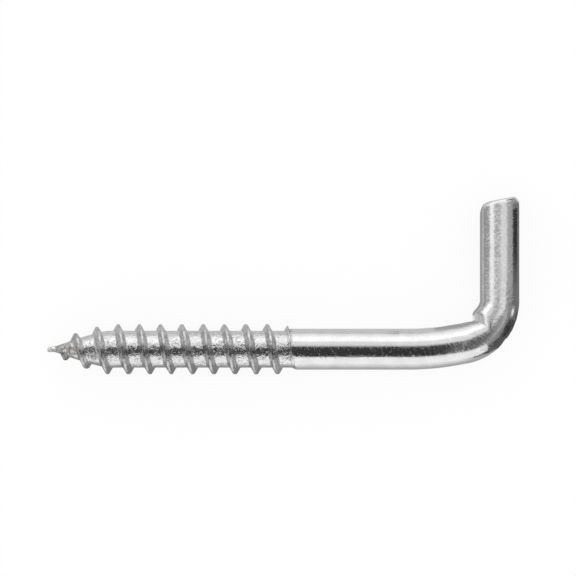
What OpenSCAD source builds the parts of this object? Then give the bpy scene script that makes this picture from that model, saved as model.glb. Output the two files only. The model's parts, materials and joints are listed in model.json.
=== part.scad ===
// Square screw hook: one steel wire with a rolled wood thread, bent to an upright arm.
// X runs along the screw from its tip to the bend, Y along the arm, and Z up from the bench it lies on.
// The origin is on the screw's axis at the shoulder, where the thread ends and the wall's face will be.
// All sizes are in millimetres.

/* [Wire] */
// Diameter of the wire, which is the plain shank's
wire_d = 5; // [4.7:0.05:5.6]
// Diameter of the arm, drawn a little thinner as the wire was bent
arm_d = 4.8; // [4.4:0.05:5.4]

/* [Thread] */
// Length from the tip to the shoulder, which is how deep the hook is driven
thread_l = 30; // [22:0.5:45]
// Diameter over the crests
thread_d = 6.2; // [5.4:0.05:7]
// Diameter of the core between the turns
core_d = 4.5; // [3.8:0.05:4.6]
// Distance from one turn to the next
pitch = 2.6; // [2.2:0.05:3.4]
// Width of the flat on the crest
crest_w = 0.3; // [0.1:0.02:0.5]
// Lean of each flank from the plane across the screw
flank_angle = 34; // [20:1:38]
// Length of the tapered point, from the tip to the full core
point_l = 7.4; // [5:0.1:12]
// Length of the plain pin that the point was pinched off at
pin_l = 1.1; // [0.5:0.1:2]
// Diameter of that pin at the tip
tip_d = 0.56; // [0.3:0.02:0.8]
// How far ahead of the shoulder the last turn crosses the side that the arm points to
runout_l = 0.58; // [0:0.05:1.2]
// Length of the cone that leads from the core up to the shank
shoulder_l = 0.3; // [0.1:0.05:1]

/* [Bend] */
// Distance from the shoulder to the arm's centre line
reach = 25.2; // [20:0.05:45]
// Radius of the bend, to the wire's centre line
bend_r = 5.35; // [5:0.05:9]
// Angle that the shank has already turned through before the tight bend
lead_angle = 10; // [4:0.5:16]
// Radius of that easy lead-in
lead_r = 31.5; // [15:0.5:45]
// Straight length between the lead-in and the tight bend
lead_gap = 1.3; // [0.5:0.1:4]
// How far the squeezed metal stands out of the bend's inner side
fold_h = 0.34; // [0.05:0.02:0.6]
// How far the fold's step reaches out from the arm's inner side
fold_w = 0.9; // [0.6:0.02:1.4]
// How far the wire spreads to each side where it was bent
spread = 0.06; // [0.02:0.02:0.3]

/* [Arm] */
// Height of the arm's end above the screw's axis, at the arm's centre line
arm_h = 18.28; // [12:0.02:35]
// Slant of the sheared end, which rises to the outer side
shear_angle = 11; // [2:0.5:20]
// Radius of the edge that the shear rolled over, on the inner side
rollover_r = 1.45; // [0.4:0.05:1.6]
// Radius of the edge on the outer side
burr_r = 0.75; // [0.2:0.05:1.2]

/* [Hidden] */
wire_r = wire_d / 2;
arm_r = arm_d / 2;
core_r = core_d / 2;
ridge_h = (thread_d - core_d) / 2;
tip_x = -thread_l;

// how much the pin's radius widens towards the cone, and how round that cone is: 1 makes it straight
pin_flare = 0.12;
point_round = 1.25;
// share of its full height that the thread has where it leaves the pin, and how soon it rises to that
first_ridge = 0.88;
rise_l = 1.5;
// where the thread starts to run out ahead of the shoulder, and over what length it sinks into the shank
fade_x = -2;
fade_l = 3;
// how deep in the core the shoulder's cone starts
shoulder_sink = 0.6;

// the thread is a strip of four points wound about the core, this many steps to a turn
turn_steps = 36;
// height of the thread where it starts and where it ends, which is inside the shank
ridge_min = 0.06;
start_x = tip_x + pin_l + half_base(ridge_min);
end_x = 0.4;
// the winding takes a whole number of steps from its start to its end
last_step = ceil((end_x - start_x) / pitch * turn_steps);
// turn at which the winding starts, so that the last one crosses the arm's side where it should
start_turn = 360 * (start_x + runout_l) / pitch;

// the bend's centre, and where the shank starts to curve: the lead-in and the straight come between them
bend_x = reach - bend_r;
lead_x = bend_x + bend_r * sin(lead_angle) - lead_gap * cos(lead_angle) - lead_r * sin(lead_angle);
bend_y = lead_r * (1 - cos(lead_angle)) + lead_gap * sin(lead_angle) + bend_r * cos(lead_angle);
// angle round the bend at which the fold starts to swell
fold_start = 20;

// rings and sides of the bend, and how far its ends reach into the shank and the arm, just under their skin
lead_rings = 6;
bend_rings = 30;
bend_sides = 44;
sink = 0.4;
inset = 0.02;

// steps of each rounded edge at the arm's end, and the room that its outline leaves beside the arm
edge_steps = 10;
edge_room = 0.03;

$fn = 96;

function mix(a, b, t) = a + (b - a) * t;
function clamp(t) = max(0, min(1, t));
function smooth(t) = let (c = clamp(t)) c * c * (3 - 2 * c);

// radius of the core: a thin pin at the tip, then a cone, then the full core
function pin_r(x) = tip_d / 2 + pin_flare * clamp((x - tip_x) / pin_l);
function core_at(x) = let (t = (x - tip_x - pin_l) / (point_l - pin_l))
    mix(pin_r(x), core_r, 1 - pow(1 - clamp(t), point_round));

// height of the thread: it grows along the point and runs out at the shoulder
function grow(x) = let (d = x - tip_x - pin_l) mix(first_ridge, 1, clamp(d / point_l)) * smooth(d / rise_l);
function run_out(x) = 1 - smooth((x - fade_x) / fade_l);
function ridge_at(x) = max(ridge_min, ridge_h * grow(x) * run_out(x));
function half_base(h) = crest_w / 2 + h * tan(flank_angle);

// a point on the thread, by its step along the winding and its place on the ridge
function wound_x(n) = start_x + pitch * n / turn_steps;
function turned(x, r, n) = let (a = start_turn + 360 * n / turn_steps) [x, r * cos(a), r * sin(a)];
function foot(n, side) = let (x = wound_x(n) + side * half_base(ridge_at(wound_x(n)))) turned(x, core_at(x), n);
function crest(n, side) = let (c = wound_x(n), x = c + side * crest_w / 2)
    turned(x, core_at(c) + ridge_at(c), n);

// the triangles with three corners: a strip that narrows to nothing ends in one with only two
function whole(faces) = [for (f = faces) if (f[0] != f[1] && f[1] != f[2] && f[0] != f[2]) f];

// the wound thread, its core and its gimlet point as one solid
module thread() {
    ring_x = start_x - half_base(ridge_min);
    strip = [for (n = [0:last_step]) each [foot(n, -1), crest(n, -1), crest(n, 1), foot(n, 1)]];
    first = len(strip);
    // rings of the point: the tip, and the pin's end where the winding starts
    tip = [for (i = [0:turn_steps - 1]) turned(tip_x, tip_d / 2, i)];
    pin = [for (i = [1:turn_steps - 1]) turned(ring_x, core_at(ring_x), i)];
    // ring that closes the core inside the shank
    end_n = last_step - turn_steps;
    stop = [for (i = [1:turn_steps - 1]) turned(foot(last_step, 1)[0], core_r, end_n + i)];
    function at(n, k) = 4 * n + k;
    function tip_at(i) = first + i % turn_steps;
    function pin_at(i) = i % turn_steps == 0 ? at(0, 0) : first + turn_steps + i - 1;
    function stop_at(i) = i % turn_steps == 0 ? at(last_step, 3) : first + 2 * turn_steps - 1 + i - 1;
    ridge = [for (n = [0:last_step - 1], k = [0:2]) each
        [[at(n, k), at(n, k + 1), at(n + 1, k + 1)], [at(n, k), at(n + 1, k + 1), at(n + 1, k)]]];
    root = [for (n = [0:end_n - 1]) let (m = n + turn_steps) each
        [[at(n, 3), at(m, 0), at(m + 1, 0)], [at(n, 3), at(m + 1, 0), at(n + 1, 3)]]];
    point = [for (i = [0:turn_steps - 1]) each
        [[tip_at(i), pin_at(i), pin_at(i + 1)], [tip_at(i), pin_at(i + 1), tip_at(i + 1)]]];
    lead_in = [for (i = [0:turn_steps - 2]) each
        [[pin_at(i), at(i, 0), at(i + 1, 0)], [pin_at(i), at(i + 1, 0), pin_at(i + 1)]]];
    lead_out = [for (i = [1:turn_steps - 1]) let (n = end_n + i) each
        [[at(n, 3), stop_at(i), stop_at(i + 1)], [at(n, 3), stop_at(i + 1), at(n + 1, 3)]]];
    // where the first and the last turn meet the rings, one face takes in the ridge's foot
    last_pin = turn_steps - 1;
    start_gap = [
        [pin_at(last_pin), at(0, 3), at(0, 0)],
        [pin_at(last_pin), at(last_pin, 0), at(0, 3)],
        [at(last_pin, 0), at(turn_steps, 0), at(0, 3)]
    ];
    end_gap = [
        [at(end_n, 3), at(last_step, 0), at(end_n + 1, 3)],
        [at(last_step, 0), stop_at(1), at(end_n + 1, 3)],
        [at(last_step, 0), at(last_step, 3), stop_at(1)]
    ];
    start_cap = [[at(0, 0), at(0, 3), at(0, 2), at(0, 1)]];
    end_cap = [[for (k = [0:3]) at(last_step, k)]];
    tip_cap = [[for (i = [0:turn_steps - 1]) tip_at(i)]];
    stop_cap = [[for (i = [turn_steps - 1:-1:0]) stop_at(i)]];
    polyhedron(
        concat(strip, tip, pin, stop),
        concat(
            ridge, root, point, whole(lead_in), whole(lead_out),
            start_gap, end_gap, start_cap, end_cap, tip_cap, stop_cap
        )
    );
}

// the plain shank, from the shoulder's cone to the start of the lead-in
module shank() {
    // the cone starts inside the core, so that it rises out of it
    slope = (wire_r - core_r) / shoulder_l;
    cone_x = -shoulder_sink / slope;
    rotate([0, 90, 0]) rotate_extrude() polygon([
        [0, cone_x],
        [core_r - shoulder_sink, cone_x],
        [wire_r, shoulder_l],
        [wire_r, lead_x],
        [0, lead_x]
    ]);
}

// a ring about the wire, in the plane through a bend's centre at an angle from straight down
function ring(c, a, near, far, wide) = [for (i = [0:bend_sides - 1]) let (
    t = 360 * i / bend_sides,
    d = mix(near, far, (1 + cos(t)) / 2)
) [c[0] + d * sin(a), c[1] - d * cos(a), wide * sin(t)]];

function moved(points, v) = [for (p = points) p + v];

// a ring of the easy lead-in, where the wire is still round
function lead_ring(a, less = 0) = let (r = wire_r - less) ring([lead_x, lead_r], a, lead_r - r, lead_r + r, r);

// swell of the squeezed metal, none at either end of its stretch of the bend and one in the middle
function swell(a, from) = pow(sin(clamp((a - from) / (90 - from)) * 180), 2);

// inner side of the tight bend, as a distance from its centre: the shank's line runs on to the fold's step
function half_at(a) = mix(wire_r, arm_r, (a - lead_angle) / (90 - lead_angle));
function line_at(a) = (bend_r - wire_r) / cos(a - lead_angle);
function step_at(a) = (bend_r - arm_r - fold_w) / sin(a);
function fold_at(a) = bend_r - half_at(a) - fold_h * swell(a, fold_start);
function inner_at(a) = max(min(line_at(a), step_at(a)), fold_at(a));

// a ring of the tight bend, which is pinched at the step, proud at the fold, and spread sideways
function bend_ring(a, less = 0) = ring(
    [bend_x, bend_y], a, inner_at(a) + less, bend_r + half_at(a) - less,
    half_at(a) - less + spread * swell(a, lead_angle)
);

// the lead-in and the tight bend with its fold, skinned over their rings
module bend() {
    rings = concat(
        [moved(lead_ring(0, inset), [-sink, 0, 0])],
        [lead_ring(0, inset)],
        [for (k = [1:lead_rings]) lead_ring(lead_angle * k / lead_rings)],
        [for (k = [0:bend_rings - 1]) bend_ring(mix(lead_angle, 90, k / bend_rings))],
        [bend_ring(90, inset)],
        [moved(bend_ring(90, inset), [0, sink, 0])]
    );
    function at(k, i) = k * bend_sides + i % bend_sides;
    skin = [for (k = [0:len(rings) - 2], i = [0:bend_sides - 1]) each
        [[at(k, i), at(k + 1, i + 1), at(k + 1, i)], [at(k, i), at(k, i + 1), at(k + 1, i + 1)]]];
    start = [[for (i = [bend_sides - 1:-1:0]) at(0, i)]];
    end = [[for (i = [0:bend_sides - 1]) at(len(rings) - 1, i)]];
    polyhedron([for (r = rings) each r], concat(skin, start, end));
}

// an edge of the sheared end, rounded as an arc from one direction to the next
function arc(c, r, from, to) = [for (i = [0:edge_steps]) let (a = mix(from, to, i / edge_steps))
    c + r * [cos(a), sin(a)]];

// the arm, with its end sheared on a slant and its inner edge rolled over
module arm() {
    side = arm_r + edge_room;
    slope = tan(shear_angle);
    lift = 1 / cos(shear_angle);
    inner = [rollover_r - side, arm_h + slope * (rollover_r - side) - rollover_r * lift];
    outer = [side - burr_r, arm_h + slope * (side - burr_r) - burr_r * lift];
    outline = concat(
        [[-side, 0], [side, 0]],
        arc(outer, burr_r, 0, 90 + shear_angle),
        arc(inner, rollover_r, 90 + shear_angle, 180)
    );
    intersection() {
        translate([reach, bend_y, 0]) rotate([-90, 0, 0]) cylinder(h = arm_h + arm_d - bend_y, r = arm_r);
        translate([reach, 0, 0]) linear_extrude(height = 2 * arm_d, center = true) polygon(outline);
    }
}

// the whole hook as one piece
module screw_hook() {
    color("silver") union() {
        thread();
        shank();
        bend();
        arm();
    }
}

screw_hook();
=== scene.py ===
import json
import math

import bmesh
import bpy
from mathutils import Matrix, Vector, noise


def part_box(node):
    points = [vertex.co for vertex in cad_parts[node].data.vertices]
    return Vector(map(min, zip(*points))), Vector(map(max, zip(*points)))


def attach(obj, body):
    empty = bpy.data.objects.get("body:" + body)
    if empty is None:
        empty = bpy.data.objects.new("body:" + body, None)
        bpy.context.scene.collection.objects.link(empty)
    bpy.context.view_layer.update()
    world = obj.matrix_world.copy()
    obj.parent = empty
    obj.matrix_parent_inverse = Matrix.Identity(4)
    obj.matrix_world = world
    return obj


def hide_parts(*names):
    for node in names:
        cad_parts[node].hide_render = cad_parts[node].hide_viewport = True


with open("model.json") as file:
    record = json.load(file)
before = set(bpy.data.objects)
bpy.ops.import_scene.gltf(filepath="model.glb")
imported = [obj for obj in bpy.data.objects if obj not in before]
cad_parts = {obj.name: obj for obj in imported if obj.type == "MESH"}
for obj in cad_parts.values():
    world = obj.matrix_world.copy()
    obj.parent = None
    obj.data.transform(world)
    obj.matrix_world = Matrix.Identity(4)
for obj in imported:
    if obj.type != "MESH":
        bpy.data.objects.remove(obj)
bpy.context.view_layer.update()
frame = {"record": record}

# The thread: the end of a 5 mm steel wire, rolled between two dies into a right-hand wood thread.
# The dies squeeze the core thinner than the wire, raise the ridge, and pinch the end off to a gimlet point.
# The whole hook is one piece, modelled in millimetres from its tip onwards and scaled to metres at the end.
MM = 0.001
low, high = [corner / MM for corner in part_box("screw_hook")]
mounts = {mount["name"]: mount for mount in frame["record"]["mounts"]}
arm_share = 0.96
core_share = 0.9
arm_r = mounts["arm"]["dims"]["r_mm"]
wire_r = arm_r / arm_share
core_r = core_share * wire_r
crest_r = mounts["wood_thread"]["dims"]["r_mm"]
ridge_h = crest_r - core_r
tip_x = low.x
pitch = 2.6
turn_steps = 96
crest_w = 0.26
crest_round = 0.05
flank_slope = math.tan(math.radians(28))
root_round = 0.11
root_hold = 1.5 * root_round
round_steps = 4
point_l = 7.4
point_bulge = 1.25
pin_l = 1.1
tip_r = 0.28
pin_flare = 0.12
first_ridge = 0.88
ridge_rise = 1.5
ridge_fade_x = -2
ridge_fade_l = 4.3
runout_l = 0.58
shoulder_slant = 0.16
shoulder_x = -0.15
swell_l = 0.4
swell_step = 0.08
weld = 0.002
cut_weld = 0.0001
sliver = 0.006


def mix(a, b, share):
    return a + (b - a) * share


def clamp(share):
    return max(0.0, min(1.0, share))


def smooth(share):
    share = clamp(share)
    return share * share * (3 - 2 * share)


def core_at(x):
    pin = tip_r + pin_flare * clamp((x - tip_x) / pin_l)
    along = clamp((x - tip_x - pin_l) / (point_l - pin_l))
    return mix(pin, core_r, 1 - (1 - along) ** point_bulge)


def ridge_at(x):
    from_pin = x - tip_x - pin_l
    grown = mix(first_ridge, 1, clamp(from_pin / point_l)) * smooth(from_pin / ridge_rise)
    return ridge_h * grown * (1 - smooth((x - ridge_fade_x) / ridge_fade_l))


# each point of the skin keeps how far it is turned round the wire, how deep it lies in the rolled roots,
# how far it lies in on the sheared face, and where it lay before the wire was bent
hook = bmesh.new()
turn = hook.verts.layers.float.new("turn")
rolled = hook.verts.layers.float.new("rolled")
sheared = hook.verts.layers.float.new("sheared")
straight = hook.verts.layers.float_vector.new("straight")

# one pitch of the rolled outline, with its crest on the arm's side of the wire and its corners rounded
half_base = crest_w / 2 + ridge_h * flank_slope
half_outline = [
    (crest_w / 2, crest_r),
    (half_base, core_r),
    (half_base + root_hold, core_r),
    (mix(half_base, pitch / 2, 0.5), core_r),
    (pitch / 2, core_r),
]
outline = [(-x, r) for x, r in reversed(half_outline)] + half_outline
first_turn = math.ceil(-tip_x / pitch) + 1
first_crest = -runout_l - first_turn * pitch
corners = [hook.verts.new((first_crest + x, r, 0)) for x, r in outline]
for start, end in zip(corners, corners[1:]):
    hook.edges.new((start, end))
crest_corners = corners[4:6]
root_corners = [corners[3], corners[6]]
for rounded, offset in ((crest_corners, crest_round), (root_corners, root_round)):
    bmesh.ops.bevel(
        hook, geom=rounded, affect="VERTICES", offset=offset, segments=round_steps, profile=0.5, material=-1
    )

# the outline is wound once round the wire, and that turn is repeated from the tip to past the shoulder
bmesh.ops.spin(
    hook,
    geom=hook.verts[:] + hook.edges[:],
    cent=(0, 0, 0),
    axis=(1, 0, 0),
    dvec=(pitch / turn_steps, 0, 0),
    angle=math.tau,
    steps=turn_steps,
)
one_turn = hook.verts[:] + hook.edges[:] + hook.faces[:]
for count in range(1, first_turn + 1):
    made = bmesh.ops.duplicate(hook, geom=one_turn)["geom"]
    verts = [part for part in made if isinstance(part, bmesh.types.BMVert)]
    bmesh.ops.translate(hook, vec=(count * pitch, 0, 0), verts=verts)
bmesh.ops.remove_doubles(hook, verts=hook.verts, dist=weld)

# the ridge shrinks towards the point and the shoulder, and its crest is never quite even or upright
crest_level = 0.95
crest_wander = 0.06
wander_pace = 2
crest_lean = 0.1
lean_pace = 0.7
lean_place = 40
for vert in hook.verts:
    angle = math.atan2(vert.co.z, vert.co.y)
    side = math.cos(angle)
    up = math.sin(angle)
    height = (math.hypot(vert.co.y, vert.co.z) - core_r) / ridge_h
    wound = (vert.co.x + runout_l) / pitch - angle / math.tau
    offset = (wound - round(wound)) * pitch
    crest_x = vert.co.x - offset
    ridge = ridge_at(crest_x)
    base = crest_w / 2 + ridge * flank_slope
    away = abs(offset)
    if away < half_base:
        away = mix(crest_w / 2, base, (away - crest_w / 2) / (half_base - crest_w / 2))
    else:
        away = mix(base, pitch / 2, (away - half_base) / (pitch / 2 - half_base))
    x = crest_x + math.copysign(away, offset)
    wander = noise.noise(Vector((x, wander_pace * side, wander_pace * up)))
    lean = noise.noise(Vector((lean_pace * x + lean_place, side, up)))
    radius = core_at(mix(x, crest_x, height)) + height * ridge * (crest_level + crest_wander * wander)
    vert.co = (x + crest_lean * height * lean, radius * side, radius * up)
    vert[rolled] = clamp(1 - height)


def cut(x, slant, inner=False, outer=False):
    bmesh.ops.bisect_plane(
        hook,
        geom=hook.verts[:] + hook.edges[:] + hook.faces[:],
        dist=cut_weld,
        plane_co=(x, 0, 0),
        plane_no=(1, slant, 0),
        clear_inner=inner,
        clear_outer=outer,
    )


# the winding is cut square at the pin and on a slant at the shoulder, where the core swells to the wire
cut(tip_x + pin_l, 0, inner=True)
cut(shoulder_x, shoulder_slant, outer=True)
cut(shoulder_x - swell_l, shoulder_slant)
bmesh.ops.remove_doubles(hook, verts=hook.verts, dist=sliver)
for vert in hook.verts:
    swollen = clamp((vert.co.x + shoulder_slant * vert.co.y - shoulder_x) / swell_l + 1)
    radius = math.hypot(vert.co.y, vert.co.z)
    grown = mix(radius, max(radius, wire_r - swell_step), swollen)
    vert.co.y *= grown / radius
    vert.co.z *= grown / radius
    vert[rolled] *= 1 - swollen
open_edges = [edge for edge in hook.edges if len(edge.link_faces) == 1]
pin_edges = [edge for edge in open_edges if edge.verts[0].co.x < tip_x / 2]
root_edges = [edge for edge in open_edges if edge.verts[0].co.x > tip_x / 2]


def extruded(edges):
    made = bmesh.ops.extrude_edge_only(hook, edges=edges)["geom"]
    verts = [part for part in made if isinstance(part, bmesh.types.BMVert)]
    fresh = set(verts)
    rim = [
        part for part in made
        if isinstance(part, bmesh.types.BMEdge) and part.verts[0] in fresh and part.verts[1] in fresh
    ]
    return verts, rim


def joined_on(open_rim, sides, set_ring, places):
    verts = bmesh.ops.create_circle(hook, cap_ends=False, segments=sides, radius=wire_r)["verts"]
    for vert in verts:
        vert[turn] = math.atan2(vert.co.x, vert.co.y)
    rim = list({edge for vert in verts for edge in vert.link_edges})
    set_ring(verts, *places[0])
    bmesh.ops.bridge_loops(hook, edges=open_rim + rim)
    for place in places[1:]:
        verts, rim = extruded(rim)
        set_ring(verts, *place)
    return rim


# the pin that the point was pinched off at droops a little and ends ragged
# each of its rings has its way back from the point, its radius and its droop
pin_sides = 48
pin_rings = ((0.12, 0.37, 0), (0.5, 0.34, 0.01), (0.85, 0.29, 0.04), (1.06, 0.24, 0.07), (1.1, 0.14, 0.08))
ragged_share = 0.2
ragged_pace = 3


def pin_ring(verts, back, radius, droop):
    for vert in verts:
        side = math.cos(vert[turn])
        up = math.sin(vert[turn])
        ragged = radius * (1 + ragged_share * noise.noise(Vector((ragged_pace * back, side, up))))
        vert.co = (tip_x + pin_l - back, ragged * side - droop, ragged * up)
        vert[rolled] = 1


ring_edges = joined_on(pin_edges, pin_sides, pin_ring, pin_rings)
bmesh.ops.contextual_create(hook, geom=ring_edges)
for vert in hook.verts:
    vert[straight] = vert.co

# The shank and the bend: the plain wire behind the thread, then bent square over a tight die.
# The shank curves gently before the bend, and the squeezed metal stands out as a fold in its inner corner.
# Each ring of the wire is drawn out of the last one, so the skin runs on from the shoulder to the arm's end.
ring_sides = 96
shank_rings = 12
lead_rings = 12
bend_rings = 120
reach = mounts["arm"]["pos_m"][0] / MM
bend_r = 5.35
lead_angle = math.radians(10)
lead_r = 31.5
lead_gap = 1.3
fold_h = 0.34
fold_w = 0.9
fold_start = math.radians(20)
fold_edge = 0.5
fold_fade = 0.9
crease_lean = math.radians(9)
crease_bow = 6
crease_soft = 0.11
lean_fade = 0.4
spread = 0.06
dent_h = 0.1
dent_size = 0.95
dent_fade = 0.6
dent_finer = 2
dent_octaves = 2
quarter = math.pi / 2
bend_x = reach - bend_r
lead_x = bend_x + (bend_r - lead_r) * math.sin(lead_angle) - lead_gap * math.cos(lead_angle)
bend_y = lead_r + (bend_r - lead_r) * math.cos(lead_angle) + lead_gap * math.sin(lead_angle)
bend_start = lead_x + lead_r * lead_angle + lead_gap


def shank_ring(verts, x, slant, radius):
    for vert in verts:
        y = -radius * math.cos(vert[turn])
        vert.co = (x - slant * y, y, radius * math.sin(vert[turn]))
        vert[straight] = vert.co


def bent_ring(verts, centre, angle, near, far, wide, length, dent=0.0):
    for vert in verts:
        across = math.cos(vert[turn])
        up = math.sin(vert[turn])
        spot = Vector((length, across * wide, up * wide)) / dent_size
        dented = dent * max(0, across) * noise.fractal(spot, dent_fade, dent_finer, dent_octaves)
        away = mix(near(across), far, (1 + across) / 2) + dented
        vert.co = (centre[0] + away * math.sin(angle), centre[1] - away * math.cos(angle), wide * up)
        vert[straight] = (length, -wire_r * across, wire_r * up)


# the shoulder's face and its rounded rim, then the shank, whose rings straighten up from the shoulder's slant
rim_depths = ((-0.13, 0.05), (-0.1, 0.02), (-0.03, 0))
shoulder_rings = [(x, shoulder_slant, wire_r - depth) for x, depth in rim_depths]
ring_edges = joined_on(root_edges, ring_sides, shank_ring, shoulder_rings)
for step in range(1, shank_rings + 1):
    ring, ring_edges = extruded(ring_edges)
    share = 1 - math.cos(quarter * step / shank_rings)
    shank_ring(ring, lead_x * share, shoulder_slant * (1 - share), wire_r)
for step in range(1, lead_rings + 1):
    angle = lead_angle * step / lead_rings
    ring, ring_edges = extruded(ring_edges)
    bent_ring(
        ring, (lead_x, lead_r), angle, lambda across: lead_r - wire_r, lead_r + wire_r, wire_r,
        lead_x + lead_r * angle
    )


def swell(angle, start):
    return math.sin(clamp((angle - start) / (quarter - start)) * math.pi) ** 2


def half_at(angle):
    return mix(wire_r, arm_r, (angle - lead_angle) / (quarter - lead_angle))


def soft_min(a, b, blend):
    over = clamp(0.5 + (b - a) / (2 * blend))
    return mix(b, a, over) - blend * over * (1 - over)


# the shank's inner side runs straight on to the fold's step, and the crease leans to the arm as it climbs out
def inner_at(angle, across):
    late = crease_lean * (1 - max(0, -across) ** crease_bow)
    past_shank = clamp((angle - lead_angle) / lead_angle)
    before_arm = clamp((quarter - angle) / lean_fade)
    angle = max(lead_angle, angle - late * past_shank * before_arm)
    plain = bend_r - half_at(angle)
    if across >= fold_edge:
        return plain
    line = (bend_r - wire_r) / math.cos(angle - lead_angle)
    pinch = (bend_r - arm_r - fold_w) / math.sin(angle)
    fold = plain - fold_h * swell(angle, fold_start)
    squeezed = -soft_min(-soft_min(line, pinch, crease_soft), -fold, crease_soft)
    return mix(plain, squeezed, 2 * smooth((fold_edge - across) / fold_fade) / (1 - across))


for step in range(bend_rings + 1):
    angle = mix(lead_angle, quarter, step / bend_rings)
    half = half_at(angle)
    ring, ring_edges = extruded(ring_edges)
    bent_ring(
        ring, (bend_x, bend_y), angle, lambda across: inner_at(angle, across), bend_r + half,
        half + spread * swell(angle, lead_angle), bend_start + bend_r * (angle - lead_angle),
        dent_h * swell(angle, lead_angle)
    )

# The arm: the straight end of the wire, which carries the load.
# Its end was sheared off on a slant, so its inner edge is rolled over and its outer edge is nearly square.
arm_rings = 12
rim_rings = 8
face_rings = 6
arm_h = 18.28
shear_slope = math.tan(math.radians(11))
rollover_r = 1.45
burr_r = 0.75
edge_room = 0.03
rim_r = 0.5
arm_start = bend_start + bend_r * (quarter - lead_angle)


def end_y(x):
    lift = math.sqrt(1 + shear_slope ** 2)
    slant = shear_slope / lift
    inner_x = rollover_r - arm_r - edge_room
    outer_x = arm_r + edge_room - burr_r
    if x < inner_x - rollover_r * slant:
        middle = arm_h + shear_slope * inner_x - rollover_r * lift
        return middle + math.sqrt(max(0, rollover_r ** 2 - (x - inner_x) ** 2))
    if x > outer_x - burr_r * slant:
        middle = arm_h + shear_slope * outer_x - burr_r * lift
        return middle + math.sqrt(max(0, burr_r ** 2 - (x - outer_x) ** 2))
    return arm_h + shear_slope * x


def arm_ring(verts, radius, height):
    for vert in verts:
        across = math.cos(vert[turn])
        up = math.sin(vert[turn])
        y = height(radius * across)
        vert.co = (reach + radius * across, y, radius * up)
        skin_r = wire_r * radius / arm_r
        vert[straight] = (arm_start + y - bend_y, -skin_r * across, skin_r * up)
        vert[sheared] = clamp((arm_r - radius) / rim_r)


for step in range(1, arm_rings + 1):
    share = math.sin(quarter * step / arm_rings)
    ring, ring_edges = extruded(ring_edges)
    arm_ring(ring, arm_r, lambda x: mix(bend_y, end_y(x) - rim_r, share))
for step in range(1, rim_rings + face_rings):
    if step <= rim_rings:
        rolled_in = quarter * step / rim_rings
        radius = arm_r - rim_r * (1 - math.cos(rolled_in))
        drop = rim_r * (1 - math.sin(rolled_in))
    else:
        radius = (arm_r - rim_r) * (1 - (step - rim_rings) / face_rings)
        drop = 0
    ring, ring_edges = extruded(ring_edges)
    arm_ring(ring, radius, lambda x: end_y(x) - drop)
bmesh.ops.contextual_create(hook, geom=ring_edges)

bmesh.ops.remove_doubles(hook, verts=hook.verts, dist=weld)
bmesh.ops.recalc_face_normals(hook, faces=hook.faces)
bmesh.ops.scale(hook, vec=(MM, MM, MM), verts=hook.verts)
for vert in hook.verts:
    vert[straight] = vert[straight] * MM
mesh = bpy.data.meshes.new("hook_wire")
hook.to_mesh(mesh)
hook.free()
mesh.attributes.remove(mesh.attributes["turn"])
mesh.shade_smooth()
hook_wire = bpy.data.objects.new("hook_wire", mesh)
bpy.context.scene.collection.objects.link(hook_wire)


# The finish: bright zinc, plated over the formed wire and tumbled with its like in a barrel.
# It is glossy on the drawn shank, wrinkled in the rolled roots, and finely scratched all over.
# Its marks follow the wire as it was before the bend, and the point is tarnished where the zinc is thin.
class Shade:
    def __init__(self, tree, socket=None):
        self.tree = tree
        self.socket = socket

    def node(self, kind, settings, sockets, out=0):
        made = self.tree.nodes.new(kind)
        for name, value in settings.items():
            setattr(made, name, value)
        for name, value in sockets.items():
            if isinstance(value, Shade):
                self.tree.links.new(value.socket, made.inputs[name])
            else:
                made.inputs[name].default_value = value
        return Shade(self.tree, made.outputs[out] if made.outputs else None)

    def math(self, operation, first, second):
        return self.node("ShaderNodeMath", {"operation": operation}, {0: first, 1: second})

    def __add__(self, other):
        return self.math("ADD", self, other)

    __radd__ = __add__

    def __sub__(self, other):
        return self.math("SUBTRACT", self, other)

    def __rsub__(self, other):
        return self.math("SUBTRACT", other, self)

    def __mul__(self, other):
        return self.math("MULTIPLY", self, other)

    __rmul__ = __mul__

    def ramp(self, start, end, first=0.0, last=1.0):
        settings = {"interpolation_type": "SMOOTHSTEP"}
        sockets = {"Value": self, "From Min": start, "From Max": end, "To Min": first, "To Max": last}
        return self.node("ShaderNodeMapRange", settings, sockets)


zinc = bpy.data.materials.new("bright_zinc")
zinc.use_nodes = True
zinc.node_tree.nodes.clear()
plate = Shade(zinc.node_tree)


def kept(name, out="Fac"):
    return plate.node("ShaderNodeAttribute", {"attribute_name": name}, {}, out=out)


def grain(size, detail, stretch=(1, 1, 1), tilt=0.0, place=0.0, distortion=0.0):
    settings = {"vector_type": "TEXTURE"}
    sockets = {
        "Vector": along_wire,
        "Location": (place * MM, 0, 0),
        "Rotation": (0, 0, math.radians(tilt)),
        "Scale": tuple(size * MM * axis for axis in stretch),
    }
    spot = plate.node("ShaderNodeMapping", settings, sockets)
    return plate.node(
        "ShaderNodeTexNoise", {}, {"Vector": spot, "Scale": 1.0, "Detail": detail, "Distortion": distortion}
    )


def tinted(share, under, over):
    return plate.node("ShaderNodeMix", {"data_type": "RGBA"}, {0: share, 6: under, 7: over}, out=2)


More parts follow.
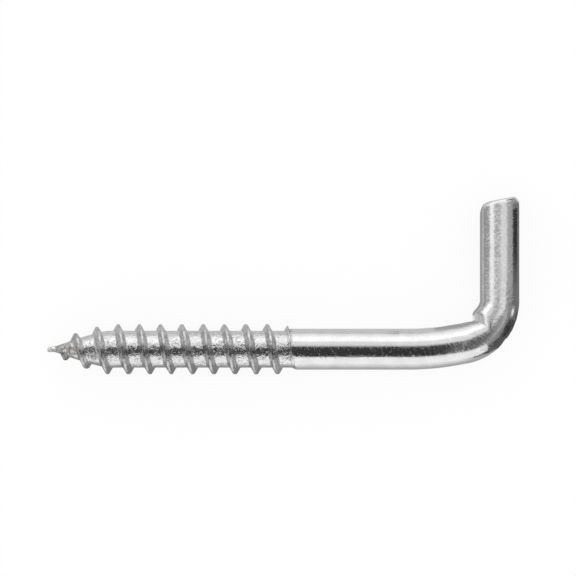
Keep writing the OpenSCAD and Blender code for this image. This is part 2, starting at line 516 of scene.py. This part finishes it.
# where on the hook: along the wire, in the roots, on the flanks and crests, on the arm, its end and the point
along_wire = kept("straight", out="Vector")
in_root = kept("rolled")
on_end = kept("sheared").ramp(0.6, 1.0)
length = plate.node("ShaderNodeSeparateXYZ", {}, {"Vector": along_wire}, out="X")
on_thread = length.ramp(-0.3 * MM, 0.1 * MM, 1.0, 0.0)
rough_root = in_root.ramp(0.3, 0.95)
flank = in_root.ramp(0.7, 0.98, 1.0, 0.0) * on_thread
crest = in_root.ramp(0.0, 0.3, 1.0, 0.0) * on_thread
on_arm = length.ramp((bend_start + 2.5) * MM, (arm_start + 0.5) * MM)
behind_pin = length.ramp((tip_x + 0.7) * MM, (tip_x + 1.3) * MM)
tarnish = behind_pin * length.ramp((tip_x + 2.8) * MM, (tip_x + 4.2) * MM, 1.0, 0.0)

# the marks: slow waves, an orange peel, wrinkles and veins in the roots, scratches, pits, and the torn end
cloud = grain(1.6, 3.0, place=75)
waves = grain(2.6, 1.0)
peel = grain(0.42, 2.0, place=9)
wrinkles = grain(0.75, 1.4, place=21, distortion=1.4)
veins = grain(0.6, 1.0, place=88, distortion=0.8) - 0.5
veins = veins.math("ABSOLUTE", veins, 0.0).ramp(0.0, 0.035, 1.0, 0.0) * cloud.ramp(0.42, 0.55)
scratches = (
    grain(0.1, 1.0, stretch=(1, 9, 9), tilt=24, place=33).ramp(0.57, 0.70)
    + grain(0.09, 1.0, stretch=(1, 7, 7), tilt=-38, place=47).ramp(0.58, 0.72)
)
pits = grain(0.22, 0.0, place=61).ramp(0.70, 0.80)
torn = grain(0.16, 2.0, stretch=(1, 1, 2.5), place=95)
specks = grain(0.3, 2.0, place=110).ramp(0.58, 0.72) * cloud.ramp(0.5, 0.62) * on_arm

# height of the skin, each mark in millimetres
wave_h = 0.012
peel_h = 0.003
arm_peel_h = 0.024
flank_peel_h = 0.06
wrinkle_h = 0.085
vein_h = 0.02
scratch_h = 0.0035
pit_h = 0.008
torn_h = 0.03
height = (
    waves * (wave_h * MM)
    + peel * (on_arm * (arm_peel_h * MM) + flank * (flank_peel_h * MM) + peel_h * MM)
    + wrinkles * (rough_root * (wrinkle_h * MM))
    - veins * (rough_root * (vein_h * MM))
    + torn * (on_end * (torn_h * MM))
    + scratches * (scratch_h * MM)
    - pits * (pit_h * MM)
)
skin = plate.node("ShaderNodeBump", {}, {"Height": height, "Strength": 1.0, "Distance": 1.0})

zinc_grey = (0.79, 0.79, 0.80, 1)
zinc_white = (0.86, 0.855, 0.85, 1)
flank_shade_grey = (0.55, 0.55, 0.555, 1)
mark_grey = (0.3, 0.3, 0.305, 1)
tarnish_brown = (0.33, 0.285, 0.245, 1)
vein_share = 0.75
speck_share = 0.4
bright = tinted(cloud.ramp(0.35, 0.65), zinc_grey, zinc_white)
# painted shade: the thread's flanks are darkened in mottled patches, standing in for the dark, patchy
# reflections on them
shaded_flanks = tinted(flank * peel.ramp(0.4, 0.6, 0.45, 1.0), bright, flank_shade_grey)
marked = tinted(veins * (rough_root * vein_share) + specks * speck_share, shaded_flanks, mark_grey)
colour = tinted(tarnish * wrinkles.ramp(0.42, 0.58, 0.05, 0.7), marked, tarnish_brown)

plate_rough = 0.12
cloud_rough = 0.06
rolled_rough = 0.08
crest_rough = 0.1
worn_rough = 0.12
end_rough = 0.1
roughness = (
    cloud * cloud_rough
    + plate_rough
    + rough_root * rolled_rough
    + flank * rolled_rough
    + crest * crest_rough
    + scratches * worn_rough
    + tarnish * worn_rough
    + on_end * end_rough
)
surface = plate.node(
    "ShaderNodeBsdfPrincipled",
    {},
    {"Base Color": colour, "Metallic": 1.0, "Roughness": roughness, "Normal": skin},
)
plate.node("ShaderNodeOutputMaterial", {}, {"Surface": surface})
mesh.materials.append(zinc)
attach(hook_wire, "root")
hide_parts("screw_hook")

# The floor: a plain white sheet that the hook lies on, resting on the crests of its thread.
# The camera and the metal see it mostly as an even white glow.
# The rest of what they see is the lit paper, which keeps the hook's soft shadow.
floor_half = 1.5
floor_glow = 0.88
white = (1, 1, 1, 1)
bm = bmesh.new()
bmesh.ops.create_grid(
    bm, x_segments=1, y_segments=1, size=floor_half, matrix=Matrix.Translation((0, 0, low.z * MM))
)
floor_mesh = bpy.data.meshes.new("floor")
bm.to_mesh(floor_mesh)
bm.free()
floor = bpy.data.objects.new("floor", floor_mesh)
bpy.context.scene.collection.objects.link(floor)
sheet = bpy.data.materials.new("white_sheet")
sheet.use_nodes = True
sheet.node_tree.nodes.clear()
paper = Shade(sheet.node_tree)
camera_ray = paper.node("ShaderNodeLightPath", {}, {}, out="Is Camera Ray")
glossy_ray = paper.node("ShaderNodeLightPath", {}, {}, out="Is Glossy Ray")
clear_ray = paper.node("ShaderNodeLightPath", {}, {}, out="Is Transmission Ray")
lit = paper.node("ShaderNodeBsdfDiffuse", {}, {"Color": white})
glow = paper.node("ShaderNodeEmission", {}, {"Color": white, "Strength": 1.0})
shown = paper.node(
    "ShaderNodeMixShader", {}, {0: (camera_ray + glossy_ray + clear_ray) * floor_glow, 1: lit, 2: glow}
)
paper.node("ShaderNodeOutputMaterial", {}, {"Surface": shown})
floor_mesh.materials.append(sheet)

# The light: a white tent all round, with flags and cards that only the metal's reflections show.
# Black flags over the screw draw the dark line along it, and grey cards band the shank, the bend and the arm.
# One small bright card makes the glint on the outer side of the bend, and another the white spot on the fold.
world = bpy.data.worlds.new("tent")
world.use_nodes = True
world.node_tree.nodes["Background"].inputs["Color"].default_value = white
world.node_tree.nodes["Background"].inputs["Strength"].default_value = 1.0
bpy.context.scene.world = world


def card(name, strength, corners, grade=None):
    board = bmesh.new()
    board.faces.new([board.verts.new(Vector(corner) * MM) for corner in corners])
    card_mesh = bpy.data.meshes.new(name)
    board.to_mesh(card_mesh)
    board.free()
    made = bpy.data.objects.new(name, card_mesh)
    bpy.context.scene.collection.objects.link(made)
    shade = bpy.data.materials.new(name)
    shade.use_nodes = True
    shade.node_tree.nodes.clear()
    face = Shade(shade.node_tree)
    tone = white
    if grade:
        axis, start, end, share = grade
        spot = face.node("ShaderNodeTexCoord", {}, {}, out="Object")
        place = face.node("ShaderNodeSeparateXYZ", {}, {"Vector": spot}, out=axis)
        tone = place.ramp(start * MM, end * MM, 1.0, share)
    glow = face.node("ShaderNodeEmission", {}, {"Color": tone, "Strength": strength})
    face.node("ShaderNodeOutputMaterial", {}, {"Surface": glow})
    card_mesh.materials.append(shade)
    made.visible_camera = False
    made.visible_diffuse = False
    made.visible_shadow = False
    made.visible_transmission = False


def level(x0, x1, y0, y1, z):
    return [(x0, y0, z), (x1, y0, z), (x1, y1, z), (x0, y1, z)]


def across_x(x, y0, y1, z0, z1):
    return [(x, y0, z0), (x, y1, z0), (x, y1, z1), (x, y0, z1)]


def across_y(y, x0, x1, z0, z1):
    return [(x0, y, z0), (x1, y, z0), (x1, y, z1), (x0, y, z1)]


# the dark line along the screw, and its end over the bend
line_z = 10
flag_z = 20
flag_x = 19
flag_end_x = 23
card_x = 48
flag_y0 = -0.9 * flag_z
flag_y1 = 0.28 * flag_z
card("thread_flag", 0.05, level(tip_x - 4, 0, -7.8, 2.6, line_z))
card("shank_flag", 0.035, level(0, flag_x, -8.4, 2.42, line_z))
card("bend_flag", 0.035, level(flag_x, flag_end_x, flag_y0, flag_y1, flag_z), grade=("X", flag_x, 26, 7))
card("bend_card", 0.5, level(flag_end_x, card_x, flag_y0, 3.2, flag_z), grade=("X", card_x, 21, 0.2))

# the bright box behind the shank, the dim strips beside it and in front, and the panel above
far_x = -60
box_y = 120
strip_y = box_y - 1
strip_x = 300
strip_z0 = 16
strip_z1 = 95
card("shank_softbox", 1.25, across_y(box_y, -138, 70, low.z, 130), grade=("Z", 55, 0, 0.72))
card("back_strip_left", 0.45, across_y(strip_y, -strip_x, -140, strip_z0, strip_z1))
card("back_strip_right", 0.12, across_y(strip_y, 75, strip_x, strip_z0, strip_z1))
card("front_strip_left", 0.12, across_y(-strip_y, -strip_x, -75, strip_z0, strip_z1))
card("front_strip_right", 0.12, across_y(-strip_y, 190, strip_x, strip_z0, strip_z1))
card("shank_panel", 0.8, level(far_x, 21, 29, 100, 100))

# grey sheets on the ground round the hook, seen only in its reflections: painted shade of the floor beside
# the hook, which its sides show
ground_z = low.z + 0.02
arm_x0 = 17
front_x = 27.5
front_y = -16
back_y = 48
arm_y0 = 4
side_x = reach + 8.2
card("back_ground", 0.62, level(far_x, arm_x0, 0, back_y, ground_z))
card("far_ground", 0.7, level(arm_x0, 60, high.y, back_y, ground_z))
card("thread_ground", 0.27, level(far_x, 0, front_y, 0, ground_z), grade=("Y", -5, front_y, 3.2))
card("front_ground", 0.42, level(0, front_x, front_y, 0, ground_z), grade=("Y", -4, front_y, 1.8))
card("front_far_ground", 0.78, level(0, front_x, -60, front_y, ground_z))
card("arm_ground", 0.38, level(arm_x0, reach, arm_y0, high.y, ground_z))
card("corner_ground", 0.1, level(front_x, reach + 32, -32, arm_y0, ground_z))
card("arm_outer_ground", 0.2, level(reach, side_x, arm_y0, high.y, ground_z))

# the bands on the arm, its dark outer edge, the glint on the bend and the spot on the fold
panel_z = 66
panel_y0 = 5.8
panel_y1 = 24
panel_x = reach + 0.05 * panel_z
side_y0 = 1.2
side_y1 = 17.7
side_z = 3.15
card("arm_panel_left", 0.43, level(reach - 0.73 * panel_z, panel_x, panel_y0, panel_y1, panel_z))
card("arm_panel_right", 0.74, level(panel_x, reach + 0.84 * panel_z, panel_y0, panel_y1, panel_z))
card("arm_left_card", 0.34, across_x(far_x, arm_y0, 30, low.z, 46))
card("arm_inner_card", 0.33, across_x(13, 5.5, high.y, low.z, 1.6))
card("arm_right_card", 0.4, across_x(reach + 40, -20, 30, low.z, 46.5))
card("arm_flag", 0.035, across_x(side_x, side_y0, side_y1, low.z, side_z), grade=("Y", 13, 6, 5))
card("bend_glint", 0.95, across_x(side_x - 0.1, 2.5, 4.3, 0.8, 3.2))
card("bend_edge_flag", 0.04, across_x(side_x, -3, side_y0, low.z, side_z))
card("fold_card", 1.5, across_x(-25, 28, back_y, 18, 46))
card("end_card", 0.35, across_x(side_x, side_y1, 30, low.z, 2.74))

# a dark screen and a grey one above it, set in an arc round the outer side of the bend
corner_r = 30
corner_step = math.radians(14)
corner_cards = 4
corner_z = 8
corner_top = 40
corner = [
    (bend_x + corner_r * math.cos(count * corner_step), bend_y - corner_r * math.sin(count * corner_step))
    for count in range(corner_cards + 1)
]
for count, (start, end) in enumerate(zip(corner, corner[1:])):
    for name, strength, z0, z1 in (("low", 0.08, low.z, corner_z), ("high", 0.25, corner_z, corner_top)):
        card(f"corner_{name}_{count}", strength, [(*start, z0), (*end, z0), (*end, z1), (*start, z1)])

# The camera: straight above the hook, with the arm pointing up the picture.
# The picture's width and middle are those at which the outline meets the photograph's.
frame_w = 70.33
middle = (-0.635, 7.47)
camera_z = 400
lens = bpy.data.cameras.new("camera")
lens.sensor_width = 36
lens.lens = lens.sensor_width * camera_z / frame_w
camera = bpy.data.objects.new("camera", lens)
camera.location = Vector((*middle, camera_z)) * MM
bpy.context.scene.collection.objects.link(camera)
bpy.context.scene.camera = camera
bpy.context.scene.view_settings.view_transform = "Standard"
